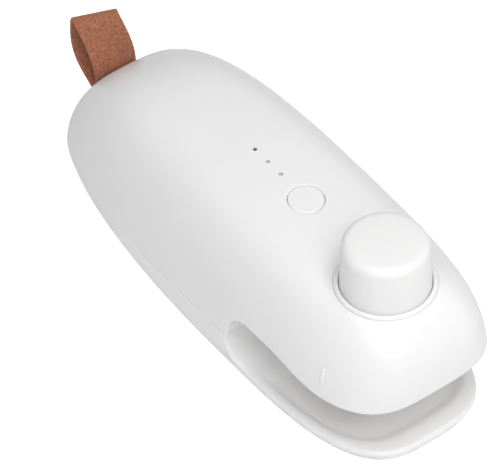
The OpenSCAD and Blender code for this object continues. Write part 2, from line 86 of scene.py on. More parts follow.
# Outline and dome, the same shape as the CAD casing
WALL = 2.0
WIDE_X = 11.0
NOSE_L = shell_hi[0] - WIDE_X
TAIL_L = shell_hi[0] + WIDE_X
HALF_W = shell_hi[1]
SEAM_Z = shell_lo[2]
FOOT_Z = base_lo[2]
CROWN_Z = shell_hi[2]
CROWN_X = -5.0
NOSE_DROP = 3.8
TAIL_DROP = 1.0
DROP_REACH = 60.0
DROP_POWER = 1.5
NOSE_N = 3.8
TAIL_N = 3.4
FOOT_NOSE_N = 3.3
FOOT_TAIL_N = 2.3
NOSE_PQ = (14.0, 3.5)
TAIL_PQ = (5.4, 1.3)
SIDE_PQ = (4.7, 1.7)
TUCK = 3.1
TUCK_POWER = 2.4

# Throat
PLATE_T = 2.0
THROAT_X = plate_lo[0] + PLATE_T
ROOF_Z = plate_hi[2] - PLATE_T
FLOOR_Z = 5.0
ROOF_R = 8.0
FLOOR_R = 8.0
SKIRT_FROM = 34.0
SKIRT_LOW = 58.0
SKIRT_DROP = 3.4
SKIRT_LIFT = 1.6
DISH = 1.4
RIM_SIDE = 4.0
RIM_NOSE = 6.5
RIM_SOFT = 1.8
SEAM_SOFT = 0.3
JAW_SOFT = 1.1

# Knob, button, lights and strap
KNOB_X = (knob_lo[0] + knob_hi[0]) / 2
KNOB_R = (knob_hi[0] - knob_lo[0]) / 2
KNOB_TOP = knob_hi[2]
KNOB_TAPER = 0.957
KNOB_EDGE = 2.6
KNOB_WALL = 1.8
COLLAR_R = (collar_hi[0] - collar_lo[0]) / 2
STEM_R = (stem_hi[0] - stem_lo[0]) / 2
BUTTON_X = (button_lo[0] + button_hi[0]) / 2
BUTTON_R = (button_hi[0] - button_lo[0]) / 2 - 1.2
BUTTON_GAP = 0.13
SWELL = 5.5
SWELL_POWER = 2.2
SPRING_WIRE = 0.5
SPRING_TURNS = 7
LIGHT_PITCH = 5.7
LIGHT_X = (pipe_lo[0] + pipe_hi[0]) / 2 - LIGHT_PITCH
LIGHT_R = 0.48
LIGHT_GAP = 0.1
LIGHT_COUNT = 3
SLOT_HALF = 7.6
SLOT_Z = (10.2, 30.0)
PIN = np.array([(pin_lo[0] + pin_hi[0]) / 2, 0.0, (pin_lo[2] + pin_hi[2]) / 2])
PIN_SLEEVE_R = 1.75

# Screws, as (x, half spacing across the casing)
CASE_SCREWS = ((-48, 17), (12, 19.5))
CASE_WELL_R = 2.4
JAW_SCREWS = ((33, 17), (66, 11), (KNOB_X, 15))
JAW_HOLE_R = 1.15
HOLDER_SCREW_Y = 7
HOLDER_HOLE_R = 0.9

# Mesh fineness
HALF_COLUMNS = 150
EDGE_STEPS = 5
LATHE_STEPS = 128


# ---- Casing surfaces ----


def spow(v, e):
    """Power that keeps its sign."""
    return np.sign(v) * np.abs(v) ** e


def draw_in(h, pq):
    """Share of the full outline left at height fraction h of the dome."""
    return (1 - np.clip(h, 0, 1) ** pq[1]) ** (1 / pq[0])


def crown(x):
    """Height of the dome's middle line at x."""
    drop = np.where(x > CROWN_X, NOSE_DROP, TAIL_DROP)
    return CROWN_Z - drop * (np.abs(x - CROWN_X) / DROP_REACH) ** DROP_POWER


def outline(a, nose, tail, side, nose_n, tail_n):
    """Plan point of the rounded outline at angle a."""
    c, s = np.cos(a), np.sin(a)
    n = np.where(c >= 0, nose_n, tail_n)
    x = WIDE_X + np.where(c >= 0, nose, tail) * spow(c, 2 / n)
    return x, side * np.clip(s, 0, 1) ** (2 / n)


def dome(a, h):
    """Point of the upper shell's outer face at outline angle a and height fraction h."""
    x, y = outline(
        a,
        NOSE_L * draw_in(h, NOSE_PQ),
        TAIL_L * draw_in(h, TAIL_PQ),
        HALF_W * draw_in(h, SIDE_PQ),
        NOSE_N,
        TAIL_N,
    )
    return np.stack([x, y, SEAM_Z + (crown(x) - SEAM_Z) * h], -1)


def base(a, f, inset=0.0):
    """Point of the lower shell's outer face at outline angle a and fraction f from seam to foot."""
    t = inset + TUCK * f**TUCK_POWER
    x, y = outline(
        a,
        NOSE_L - t,
        TAIL_L - t,
        HALF_W - t,
        NOSE_N + (FOOT_NOSE_N - NOSE_N) * f,
        TAIL_N + (FOOT_TAIL_N - TAIL_N) * f,
    )
    return np.stack([x, y, SEAM_Z - (SEAM_Z - FOOT_Z) * f + 0 * x], -1)


def dome_z(x, y):
    """Height of the dome's outer face over a plan point, by halving."""
    x, y = np.asarray(x, float), np.asarray(y, float)
    n = np.where(x >= WIDE_X, NOSE_N, TAIL_N)
    low, high = np.zeros_like(x), np.ones_like(x)
    for _ in range(40):
        mid = (low + high) / 2
        reach = np.where(
            x >= WIDE_X, NOSE_L * draw_in(mid, NOSE_PQ), TAIL_L * draw_in(mid, TAIL_PQ)
        )
        side = HALF_W * draw_in(mid, SIDE_PQ)
        with np.errstate(divide="ignore", over="ignore", invalid="ignore"):
            past = (np.abs(x - WIDE_X) / reach) ** n + (np.abs(y) / side) ** n > 1
        low, high = np.where(past, low, mid), np.where(past, mid, high)
    return SEAM_Z + (crown(x) - SEAM_Z) * low


def skin_z(x, y):
    """Height of the casing's top, which swells softly to meet the knob's collar all round."""
    z = dome_z(x, y)
    near = np.clip((COLLAR_R + SWELL - np.hypot(x - KNOB_X, y)) / SWELL, 0, 1)
    return z + (collar_hi[2] - 0.8 - z) * near**SWELL_POWER


def even_outline(count=4001):
    """Outline angles along the half seam from nose to tail, and the length travelled at each."""
    way = np.linspace(0, math.pi, count)
    c, s = np.cos(way), np.sin(way)
    reach, n = (
        np.where(c >= 0, NOSE_L, TAIL_L),
        np.where(c >= 0, NOSE_N, TAIL_N),
    )
    r = ((np.abs(c) / reach) ** n + (np.abs(s) / HALF_W) ** n) ** (-1 / n)
    a = np.arctan2(
        (r * np.abs(s) / HALF_W) ** (n / 2), np.sign(c) * (r * np.abs(c) / reach) ** (n / 2)
    )
    return a, travelled(dome(a, 0 * a))


def travelled(points):
    """Length along a line of points at each of them."""
    steps = np.linalg.norm(np.diff(points, axis=0), axis=1)
    return np.concatenate([[0], np.cumsum(steps)])


OUTLINE_A, OUTLINE_T = even_outline()


def angle_at(t):
    """Outline angle at a length t along the half seam."""
    return np.interp(t, OUTLINE_T, OUTLINE_A)


def ease(t):
    """Share that eases in and out between 0 and 1."""
    t = np.clip(t, 0, 1)
    return t * t * (3 - 2 * t)


def roof_line(x):
    """Height of the upper jaw's edge over x, in the throat; its skirt hangs lower towards the nose."""
    dip = np.clip(THROAT_X + ROOF_R - x, 0, ROOF_R)
    drop = SKIRT_DROP * ease((x - SKIRT_FROM) / (SKIRT_LOW - SKIRT_FROM))
    lift = SKIRT_LIFT * (np.clip(x - SKIRT_LOW, 0, None) / (shell_hi[0] - SKIRT_LOW)) ** 2
    return ROOF_Z - ROOF_R + np.sqrt(ROOF_R**2 - dip**2) - drop + lift


def floor_line(x):
    """Height of the lower jaw's edge over x, in the throat."""
    dip = np.clip(THROAT_X + FLOOR_R - x, 0, FLOOR_R)
    return FLOOR_Z + FLOOR_R - np.sqrt(FLOOR_R**2 - dip**2)


def shell_edge(surface, in_throat):
    """Half edge of a shell from nose to tail, evenly spaced: length along the outline and share of the height.
    in_throat(points) says which points of the surface belong to the throat's opening."""
    start = np.interp(-THROAT_X, -dome(OUTLINE_A, 0 * OUTLINE_A)[:, 0], OUTLINE_T)
    front = OUTLINE_T[OUTLINE_T < start]
    low, high = np.zeros_like(front), np.full_like(front, 0.9)
    for _ in range(40):
        mid = (low + high) / 2
        void = in_throat(surface(angle_at(front), mid))
        low, high = np.where(void, mid, low), np.where(void, high, mid)
    rise = np.linspace(low[-1], 0, 80)[1:]
    back = OUTLINE_T[OUTLINE_T > start]
    t = np.concatenate([front, np.full_like(rise, start), back])
    share = np.concatenate([low, rise, 0 * back])
    along = travelled(surface(angle_at(t), share))
    even = np.linspace(0, along[-1], HALF_COLUMNS + 1)
    return np.interp(even, along, t), np.interp(even, along, share)


def spread(t, reach=17):
    """The same places with their bunching smoothed out, both ends kept."""
    window = np.hanning(2 * reach + 1)
    padded = np.concatenate([2 * t[0] - t[reach:0:-1], t, 2 * t[-1] - t[-2 : -reach - 2 : -1]])
    return np.convolve(padded, window / window.sum(), "valid")


def unit(v):
    """Vectors scaled to length 1."""
    return v / np.maximum(np.linalg.norm(v, axis=-1, keepdims=True), 1e-9)


def normals_of(surface, t, share):
    """Outward unit normals of a casing surface."""
    dt, ds = 0.02, 0.002
    t0 = np.clip(t, dt, OUTLINE_T[-1] - dt)
    along = surface(angle_at(t0 + dt), share) - surface(angle_at(t0 - dt), share)
    up = surface(angle_at(t0), share + ds) - surface(angle_at(t0), np.maximum(share - ds, 0))
    n = unit(np.cross(along, up))
    n[[0, -1], 1] = 0
    n = unit(n)
    middle = np.array([WIDE_X, 0.0, SEAM_Z])
    return n * np.sign(np.sum(n * (surface(angle_at(t), share) - middle), -1, keepdims=True))


def rounded_edge(edge, normal, away, radius):
    """Rows of points that round a shell's edge, from its inner lip to its outer face."""
    rows = []
    for k in range(EDGE_STEPS + 1):
        turn = math.pi / 2 * (1 - k / EDGE_STEPS)
        out, back = math.cos(turn) - 1, 1 - math.sin(turn)
        rows.append(edge + radius[:, None] * (normal * out + away * back))
    return rows


def edge_frame(surface, t, share):
    """Edge points of a shell, the outward normal there and the way from the edge into the face."""
    points = surface(angle_at(t), share)
    normal = normals_of(surface, t, share)
    ahead = np.gradient(points, axis=0)
    ahead[[0, -1]] = [[0, 1, 0], [0, -1, 0]]
    away = unit(np.cross(normal, unit(ahead)))
    up = surface(angle_at(t), share + 0.02) - points
    sign = np.where(np.sum(away * up, -1, keepdims=True) >= -1e-3, 1.0, -1.0)
    return points, normal, away * sign[len(sign) // 8]


def edge_radius(share, seam, throat, reach=9):
    """Rounding radius along a shell's edge: small at the seam, larger in the throat."""
    weight = (share > 0.02).astype(float)
    window = np.hanning(2 * reach + 1)
    padded = np.pad(weight, reach, mode="edge")
    smooth = np.convolve(padded, window / window.sum(), "valid")
    return seam + (throat - seam) * smooth


def both_sides(half):
    """Closed loop from a half row that runs from nose to tail."""
    return np.concatenate([half, half[-2:0:-1] * [1, -1, 1]])


# ---- Mesh making ----


def new_piece(name, points, faces, smooth_angle=35.0):
    """Mesh object from points in mm, outward normals and edges sharper than smooth_angle left crisp."""
    mesh = bpy.data.meshes.new(name)
    mesh.from_pydata([tuple(p) for p in np.asarray(points, float) * MM], [], faces)
    tidy_mesh(mesh, smooth_angle)
    obj = bpy.data.objects.new(name, mesh)
    bpy.context.scene.collection.objects.link(obj)
    return obj


def tidy_mesh(mesh, smooth_angle):
    """Welds doubled points, points faces outwards and shades them smooth up to an angle."""
    bm = bmesh.new()
    bm.from_mesh(mesh)
    bmesh.ops.remove_doubles(bm, verts=bm.verts, dist=0.004 * MM)
    bmesh.ops.dissolve_degenerate(bm, edges=bm.edges, dist=0.002 * MM)
    bmesh.ops.recalc_face_normals(bm, faces=bm.faces)
    bm.to_mesh(mesh)
    bm.free()
    mesh.polygons.foreach_set("use_smooth", [True] * len(mesh.polygons))
    mesh.set_sharp_from_angle(angle=math.radians(smooth_angle))
    mesh.update()


def loop_faces(count, rows, close=False):
    """Quads between neighbouring loops of count points each."""
    faces = []
    for j in range(rows if close else rows - 1):
        k = (j + 1) % rows
        for i in range(count):
            n = (i + 1) % count
            faces.append((j * count + i, j * count + n, k * count + n, k * count + i))
    return faces


def lathe(name, profile, centre=(0.0, 0.0), steps=LATHE_STEPS, smooth_angle=35.0):
    """Turned piece from (radius, height) points; points on the axis close it."""
    points, faces, rings = [], [], []
    for r, z in profile:
        if r < 1e-6:
            rings.append([len(points)] * steps)
            points.append((centre[0], centre[1], z))
            continue
        rings.append(list(range(len(points), len(points) + steps)))
        for i in range(steps):
            a = 2 * math.pi * i / steps
            points.append((centre[0] + r * math.cos(a), centre[1] + r * math.sin(a), z))
    closed = profile[0][0] > 1e-6
    for j in range(len(rings) if closed else len(rings) - 1):
        low, high = rings[j], rings[(j + 1) % len(rings)]
        for i in range(steps):
            n = (i + 1) % steps
            corners = [low[i], low[n], high[n], high[i]]
            faces.append(tuple(dict.fromkeys(corners)))
    return new_piece(name, points, [f for f in faces if len(f) > 2], smooth_angle)


def arc(centre, radius, start, end, steps=6):
    """Points on an arc, angles in degrees, as (radius, height) pairs."""
    return [
        (
            centre[0] + radius * math.cos(math.radians(start + (end - start) * k / steps)),
            centre[1] + radius * math.sin(math.radians(start + (end - start) * k / steps)),
        )
        for k in range(steps + 1)
    ]


def prism(ring, z0, z1):
    """Points and faces of an upright prism over a ring of plan points."""
    n = len(ring)
    points = [(x, y, z) for z in (z0, z1) for x, y in ring]
    faces = [(i, (i + 1) % n, n + (i + 1) % n, n + i) for i in range(n)]
    return points, faces + [tuple(range(n)), tuple(range(n, 2 * n))]


def circle(x, y, r, steps=64):
    """Ring of points on a circle."""
    return [
        (x + r * math.cos(2 * math.pi * i / steps), y + r * math.sin(2 * math.pi * i / steps))
        for i in range(steps)
    ]


def rounded_rectangle(half_u, half_v, r, steps=6):
    """Plan ring of a rectangle with round corners, centred on the origin."""
    ring = []
    for k, (su, sv) in enumerate(((1, 1), (-1, 1), (-1, -1), (1, -1))):
        ring += [
            (su * (half_u - r) + u, sv * (half_v - r) + v)
            for u, v in arc((0, 0), r, 90 * k, 90 * k + 90, steps)
        ]
    return ring


def carve(obj, solids, smooth_angle=35.0):
    """Cuts prisms, given as (points, faces), out of a piece."""
    points, faces = [], []
    for p, f in solids:
        faces += [tuple(i + len(points) for i in face) for face in f]
        points += list(p)
    cutter = new_piece("cutter", points, faces)
    cut = obj.modifiers.new("carve", "BOOLEAN")
    cut.operation, cut.solver, cut.object = "DIFFERENCE", "EXACT", cutter
    graph = bpy.context.evaluated_depsgraph_get()
    carved = bpy.data.meshes.new_from_object(obj.evaluated_get(graph), depsgraph=graph)
    obj.modifiers.clear()
    obj.data = carved
    tidy_mesh(carved, smooth_angle)
    bpy.data.objects.remove(cutter)
    return obj


def side_prism(ring, x0, x1):
    """Prism along X over a ring of (y, z) points."""
    points, faces = prism(ring, x0, x1)
    return [(z, x, y) for x, y, z in points], faces


def across_prism(ring, y0, y1):
    """Prism along Y over a ring of (x, z) points."""
    points, faces = prism(ring, y0, y1)
    return [(x, z, y) for x, y, z in points], faces


# ---- Materials ----


class Shader:
    """Small helper that wires up one procedural material."""

    def __init__(self, name, rough, metallic=0.0, coat=0.0, ior=1.47):
        self.material = bpy.data.materials.new(name)
        self.material.use_nodes = True
        self.tree = self.material.node_tree
        self.body = self.tree.nodes["Principled BSDF"]
        self.body.inputs["Roughness"].default_value = rough
        self.body.inputs["Metallic"].default_value = metallic
        self.body.inputs["Coat Weight"].default_value = coat
        self.body.inputs["IOR"].default_value = ior
        self.place = self.tree.nodes.new("ShaderNodeTexCoord").outputs["Object"]
        self.height = None

    def link(self, a, b):
        """Joins an output socket to an input socket."""
        self.tree.links.new(a, b)

    def noise(self, scale, detail=4.0, rough=0.55, stretch=(1, 1, 1), distort=0.0):
        """Noise with features about 1/scale metres across."""
        spot = self.tree.nodes.new("ShaderNodeMapping")
        spot.inputs["Scale"].default_value = stretch
        self.link(self.place, spot.inputs["Vector"])
        node = self.tree.nodes.new("ShaderNodeTexNoise")
        node.inputs["Scale"].default_value = scale
        node.inputs["Detail"].default_value = detail
        node.inputs["Roughness"].default_value = rough
        node.inputs["Distortion"].default_value = distort
        self.link(spot.outputs[0], node.inputs["Vector"])
        return node.outputs["Fac"]

    def cells(self, scale):
        """Pebbled cells about 1/scale metres across."""
        node = self.tree.nodes.new("ShaderNodeTexVoronoi")
        node.inputs["Scale"].default_value = scale
        self.link(self.place, node.inputs["Vector"])
        return node.outputs["Distance"]

    def waves(self, scale, axis="Z"):
        """Fine parallel lines."""
        node = self.tree.nodes.new("ShaderNodeTexWave")
        node.bands_direction = axis
        node.inputs["Scale"].default_value = scale
        node.inputs["Distortion"].default_value = 1.0
        self.link(self.place, node.inputs["Vector"])
        return node.outputs["Fac"]

    def ramp(self, source, stops):
        """Colour ramp through (place, colour) stops."""
        node = self.tree.nodes.new("ShaderNodeValToRGB")
        while len(node.color_ramp.elements) < len(stops):
            node.color_ramp.elements.new(0.5)
        for element, (at, colour) in zip(node.color_ramp.elements, stops):
            element.position = at
            element.color = (*colour, 1)
        self.link(source, node.inputs["Fac"])
        return node.outputs["Color"]

    def colour(self, source):
        """Sets what drives the base colour."""
        self.link(source, self.body.inputs["Base Color"])

    def vary_roughness(self, source, low, high):
        """Lets a texture move the roughness between low and high."""
        node = self.tree.nodes.new("ShaderNodeMapRange")
        node.inputs["From Min"].default_value = 0.3
        node.inputs["From Max"].default_value = 0.7
        node.inputs["To Min"].default_value = low
        node.inputs["To Max"].default_value = high
        self.link(source, node.inputs["Value"])
        self.link(node.outputs["Result"], self.body.inputs["Roughness"])

    def bump(self, source, depth, strength=1.0):
        """Adds relief of about depth mm."""
        node = self.tree.nodes.new("ShaderNodeBump")
        node.inputs["Strength"].default_value = strength
        node.inputs["Distance"].default_value = depth * MM
        self.link(source, node.inputs["Height"])
        if self.height:
            self.link(self.height, node.inputs["Normal"])
        self.height = node.outputs["Normal"]
        self.link(self.height, self.body.inputs["Normal"])


def shade(colour, factor):
    """A lighter or darker copy of a colour."""
    return tuple(c * factor for c in colour)


def moulded_plastic(name, colour, rough, grain=0.004, coat=0.0):
    """Moulded plastic: fine spark grain, faint flow clouding and rubbed patches."""
    s = Shader(name, rough, coat=coat)
    s.colour(s.ramp(s.noise(28, 2), [(0.35, shade(colour, 0.985)), (0.65, colour)]))
    s.vary_roughness(s.noise(120, 5), rough * 0.88, rough * 1.15)
    s.bump(s.noise(2600, 2), grain)
    s.bump(s.noise(34, 1), 0.02, 0.25)
    return s.material


def metal(name, colour, rough, stretch):
    """Drawn or turned metal with lines along one way."""
    s = Shader(name, rough, metallic=1.0)
    lines = s.noise(900, 3, stretch=stretch)
    s.colour(s.ramp(lines, [(0.3, shade(colour, 0.88)), (0.7, colour)]))
    s.vary_roughness(lines, rough * 0.8, rough * 1.3)
    s.bump(lines, 0.006)
    return s.material


def soft_rubber(name, colour, rough, grain=0.02):
    """Matt rubber with a fine open grain and dusty patches."""
    s = Shader(name, rough)
    s.colour(s.ramp(s.noise(160, 4), [(0.3, shade(colour, 0.85)), (0.75, shade(colour, 1.12))]))
    s.vary_roughness(s.noise(300, 4), rough * 0.9, min(1.0, rough * 1.1))
    s.bump(s.noise(1500, 3), grain)
    return s.material


def leather(name):
    """Brown felted leather: mottled nap with darker pores and raised fibres."""
    s = Shader(name, 0.85, ior=1.4)
    patch = s.noise(1300, 7, 0.75, distort=0.3)
    s.colour(
        s.ramp(
            patch,
            [
                (0.30, (0.13, 0.036, 0.018)),
                (0.44, (0.33, 0.115, 0.06)),
                (0.58, (0.43, 0.17, 0.093)),
                (0.74, (0.60, 0.30, 0.18)),
            ],
        )
    )
    s.vary_roughness(patch, 0.75, 0.95)
    s.body.inputs["Sheen Weight"].default_value = 0.25
    s.bump(s.cells(900), 0.12, 0.7)
    s.bump(s.noise(1900, 6, 0.7), 0.16, 0.9)
    return s.material


def glass_cloth(name, colour):
    """Coated glass cloth: crossed threads under a smooth skin."""
    s = Shader(name, 0.4, coat=0.2)
    s.colour(s.ramp(s.noise(260, 3), [(0.3, shade(colour, 0.8)), (0.7, colour)]))
    s.bump(s.waves(700, "Y"), 0.03)
    s.bump(s.waves(700, "Z"), 0.03)
    return s.material


def circuit_board(name):
    """Green solder mask over faint copper tracks."""
    s = Shader(name, 0.35, coat=0.4)
    tracks = s.waves(120, "X")
    s.colour(s.ramp(tracks, [(0.45, (0.012, 0.11, 0.05)), (0.55, (0.02, 0.17, 0.08))]))
    s.bump(tracks, 0.02)
    s.bump(s.noise(900, 3), 0.005)
    return s.material


def shrink_wrap(name):
    """Blue heat-shrunk film with faint pulling lines."""
    s = Shader(name, 0.28, coat=0.3)
    pull = s.noise(140, 4, stretch=(0.15, 1, 1))
    s.colour(s.ramp(pull, [(0.3, (0.02, 0.09, 0.22)), (0.7, (0.03, 0.13, 0.3))]))
    s.bump(pull, 0.04)
    return s.material


def light_plastic(name, colour, clear):
    """Clear or smoked plastic of the light guides, slightly clouded."""
    s = Shader(name, 0.2, coat=0.3, ior=1.49)
    s.colour(s.ramp(s.noise(500, 2), [(0.3, shade(colour, 0.9)), (0.7, colour)]))
    s.body.inputs["Transmission Weight"].default_value = clear
    s.bump(s.noise(1500, 2), 0.004)
    return s.material


MATERIALS = {
    "shell": moulded_plastic("shell", (0.887, 0.88, 0.884), 0.34, coat=0.12),
    "base_shell": moulded_plastic("base_shell", (0.9, 0.898, 0.897), 0.36, coat=0.1),
    "knob": moulded_plastic("knob", (0.895, 0.895, 0.89), 0.36, coat=0.1),
    "inner_plastic": moulded_plastic("inner_plastic", (0.9, 0.898, 0.895), 0.5, 0.008),
    "dark_plastic": moulded_plastic("dark_plastic", (0.02, 0.02, 0.021), 0.5, 0.01),
    "steel": metal("steel", (0.62, 0.62, 0.62), 0.3, (1, 1, 8)),
    "spring_steel": metal("spring_steel", (0.5, 0.5, 0.51), 0.28, (1, 1, 3)),
    "element": metal("element", (0.6, 0.42, 0.2), 0.42, (1, 8, 1)),
    "ptfe": glass_cloth("ptfe", (0.36, 0.2, 0.09)),
    "silicone": soft_rubber("silicone", (0.42, 0.035, 0.02), 0.6),
    "rubber": soft_rubber("rubber", (0.03, 0.03, 0.031), 0.8, 0.04),
    "clear": light_plastic("clear", (0.6, 0.61, 0.61), 0.1),
    "smoked": light_plastic("smoked", (0.09, 0.09, 0.09), 0.0),
    "led": light_plastic("led", (0.75, 0.72, 0.55), 0.2),
    "board": circuit_board("board"),
    "cell_wrap": shrink_wrap("cell_wrap"),
    "wire": soft_rubber("wire", (0.2, 0.01, 0.01), 0.45, 0.006),
    "leather": leather("leather"),
}


def finish_piece(obj, material, body, *replaced):
    """Gives a piece its material, its body and the CAD nodes it stands for."""
    obj.data.materials.append(MATERIALS[material])
    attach(obj, body)
    if replaced:
        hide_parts(*replaced)
    return obj


def soften(obj, width):
    """Rounds the crisp edges of a piece by width mm."""
    soft = obj.modifiers.new("softened edges", "BEVEL")
    soft.width, soft.segments = width * MM, 3
    soft.limit_method, soft.angle_limit = "ANGLE", math.radians(40)


# ---- Casing ----


def upper_shell():
    """Upper shell with rounded jaw edge, button hole, knob hole, light holes and strap slot."""
    t, share = shell_edge(dome, lambda p: p[..., 2] < roof_line(p[..., 0]))
    smooth_t = spread(t)
    edge, normal, away = edge_frame(dome, t, share)
    shoulder = 0.85
    lip = rounded_edge(edge, normal, away, edge_radius(share, SEAM_SOFT, JAW_SOFT))
    wall_rows, wall_normals = [], []
    for v in np.linspace(0.09, 1, 26):
        tv = t + (smooth_t - t) * ease(v)
        hv = share + (shoulder - share) * v
        wall_rows.append(dome(angle_at(tv), hv))
        wall_normals.append(normals_of(dome, tv, hv))
    rim = wall_rows[-1]
    way = np.arctan2(rim[:, 1], rim[:, 0] - BUTTON_X)
    hole_r, soft = BUTTON_R + BUTTON_GAP, 0.3
    hub = np.stack([BUTTON_X + (hole_r + soft) * np.cos(way), (hole_r + soft) * np.sin(way)], -1)
    top_rows = []
    for w in np.linspace(0, 1, 50)[1:]:
        plan = rim[:, :2] + (hub - rim[:, :2]) * w
        top_rows.append(np.column_stack([plan, skin_z(plan[:, 0], plan[:, 1])]))
    ring_z = top_rows[-1][:, 2]
    hole = []
    for turn in np.radians([30, 60, 90]):
        r = hole_r + soft * (1 - math.sin(turn))
        z = ring_z - soft * (1 - math.cos(turn))
        hole.append(
            np.stack([BUTTON_X + r * np.cos(way), r * np.sin(way), z], -1)
        )
    deep = hole[-1] - [0, 0, WALL - soft]
    under_top = [row - [0, 0, WALL] for row in reversed(top_rows)]
    under_wall = [
        row - WALL * n for row, n in zip(reversed(wall_rows), reversed(wall_normals))
    ]
    under_edge = edge - WALL * normal + 0.25 * away
    rows = lip + wall_rows + top_rows + hole + [deep] + under_top + under_wall + [under_edge]
    loops = [both_sides(row) for row in rows]
    obj = new_piece(
        "upper_casing", np.concatenate(loops), loop_faces(2 * HALF_COLUMNS, len(loops), True)
    )
    cuts = [prism(circle(KNOB_X, 0, COLLAR_R + 0.05, 128), ROOF_Z + 3, KNOB_TOP + 5)]
    for i in range(LIGHT_COUNT):
        hole = circle(LIGHT_X + i * LIGHT_PITCH, 0, LIGHT_R + LIGHT_GAP, 32)
        cuts.append(prism(hole, SEAM_Z + 20, KNOB_TOP))
    cuts.append(strap_slot())
    carve(obj, cuts)
    return finish_piece(obj, "shell", "casing", "upper_shell")


def strap_slot():
    """Cutter of the slot in the tail that the strap comes out of."""
    half = (SLOT_Z[1] - SLOT_Z[0]) / 2
    mid = (SLOT_Z[1] + SLOT_Z[0]) / 2
    ring = [(y, z + mid) for y, z in rounded_rectangle(SLOT_HALF, half, 2.0)]
    return side_prism(ring, -NOSE_L - 2 * WIDE_X, PIN[0] + 6)


def floor_grid(row, depth):
    """Points and quads that close a loop across its width, sunk by depth(x, y)."""
    across = 44
    rows = []
    for p in row[1:-1]:
        y = np.linspace(p[1], -p[1], across + 1)
        x, z = np.full_like(y, p[0]), np.full_like(y, p[2])
        rows.append(np.stack([x, y, z - depth(x, y, z)], -1))
    points = [row[:1]] + rows + [row[-1:]]
    faces = []
    first = 1
    wide = across + 1
    for k in range(across):
        faces.append((0, first + k, first + k + 1))
        last = first + (len(rows) - 1) * wide
        faces.append((last + wide, last + k + 1, last + k))
    for j in range(len(rows) - 1):
        for k in range(across):
            a = first + j * wide + k
            faces.append((a, a + wide, a + wide + 1, a + 1))
    return np.concatenate(points), faces


def dish_depth(x, y, z):
    """Depth of the shallow dish in the lower jaw."""
    along = np.abs(x - WIDE_X) / (NOSE_L - RIM_NOSE)
    reach = (along**NOSE_N + (np.abs(y) / (HALF_W - RIM_SIDE)) ** NOSE_N) ** (1 / NOSE_N)
    inward = (1 - reach) * HALF_W / RIM_SOFT
    forward = (x - THROAT_X - FLOOR_R - 1) / (2 * RIM_SOFT)
    return DISH * ease(inward) * ease(forward)


def lower_shell():
    """Lower shell with rounded rim, throat floor, cavity, socket hole, strap slot and screw holes."""
    t, share = shell_edge(base, lambda p: p[..., 2] > floor_line(p[..., 0]))
    smooth_t = spread(t)
    edge, normal, away = edge_frame(base, t, share)
    lip = rounded_edge(edge, normal, away, edge_radius(share, SEAM_SOFT, JAW_SOFT))
    rows = list(lip)
    foot_r = 0.8
    for v in np.linspace(0.3, 0.95, 16):
        rows.append(base(angle_at(t + (smooth_t - t) * ease(v)), share + (1 - share) * v))
    flat = np.ones_like(t)
    a = angle_at(smooth_t)
    for turn in np.radians([0, 30, 60, 90]):
        ring = base(a, flat, foot_r * (1 - math.cos(turn)) * 1.2)
        ring[:, 2] = FOOT_Z + foot_r * (1 - math.sin(turn)) * 0.6
        rows.append(ring)
    recess_z = FOOT_Z + 0.5
    for inset, z in ((5.6, FOOT_Z), (5.8, FOOT_Z), (5.8, recess_z), (6.4, recess_z), (14, recess_z)):
        ring = base(a, flat, inset)
        ring[:, 2] = z
        rows.append(ring)
    loops = [both_sides(row) for row in rows]
    points = np.concatenate(loops)
    count = 2 * HALF_COLUMNS
    faces = loop_faces(count, len(loops))
    centre = len(points)
    last = centre - count
    points = np.concatenate([points, [[WIDE_X, 0, recess_z]]])
    faces += [(last + i, last + (i + 1) % count, centre) for i in range(count)]
    lid_points, lid_faces = floor_grid(lip[0], dish_depth)
    faces += [tuple(len(points) + i for i in f) for f in lid_faces]
    points = np.concatenate([points, lid_points])
    obj = new_piece("lower_casing", points, faces)
    cuts = [strap_slot(), cavity(), socket_hole()]
    for x, y in CASE_SCREWS:
        cuts += [prism(circle(x, s * y, CASE_WELL_R, 32), -1, screw_lo[2] + 1.3) for s in (-1, 1)]
    carve(obj, cuts)
    return finish_piece(obj, "base_shell", "casing", "lower_shell")


def cavity():
    """Cutter of the room behind the throat."""
    columns, levels = 97, 8
    a = np.interp(np.linspace(0, OUTLINE_T[-1], columns), OUTLINE_T, OUTLINE_A)
    above_seam, floor_extra = 0.5, 0.6
    loops = []
    for f in np.linspace(0, 1, levels):
        ring = base(a, np.full_like(a, f), WALL + 0.02)
        ring[:, 2] = SEAM_Z + above_seam - (SEAM_Z + above_seam - FOOT_Z - WALL - floor_extra) * f
        ring[:, 0] = np.minimum(ring[:, 0], THROAT_X - PLATE_T)
        loops.append(both_sides(ring))
    count = len(loops[0])
    faces = loop_faces(count, levels)
    faces += [tuple(range(count)), tuple(range(count * (levels - 1), count * levels))]
    return np.concatenate(loops), faces


def socket_hole():
    """Cutter of the flat-oval hole for the charging plug."""
    half = (socket_hi[2] - socket_lo[2]) / 2 + 0.25
    wide = (socket_hi[0] - socket_lo[0]) / 2 + 0.25
    x, z = (socket_lo[0] + socket_hi[0]) / 2, (socket_lo[2] + socket_hi[2]) / 2
    ring = [(x + u, z + v) for u, v in rounded_rectangle(wide, half, half - 0.01, 8)]
    return across_prism(ring, socket_lo[1] + 2, HALF_W + 2)


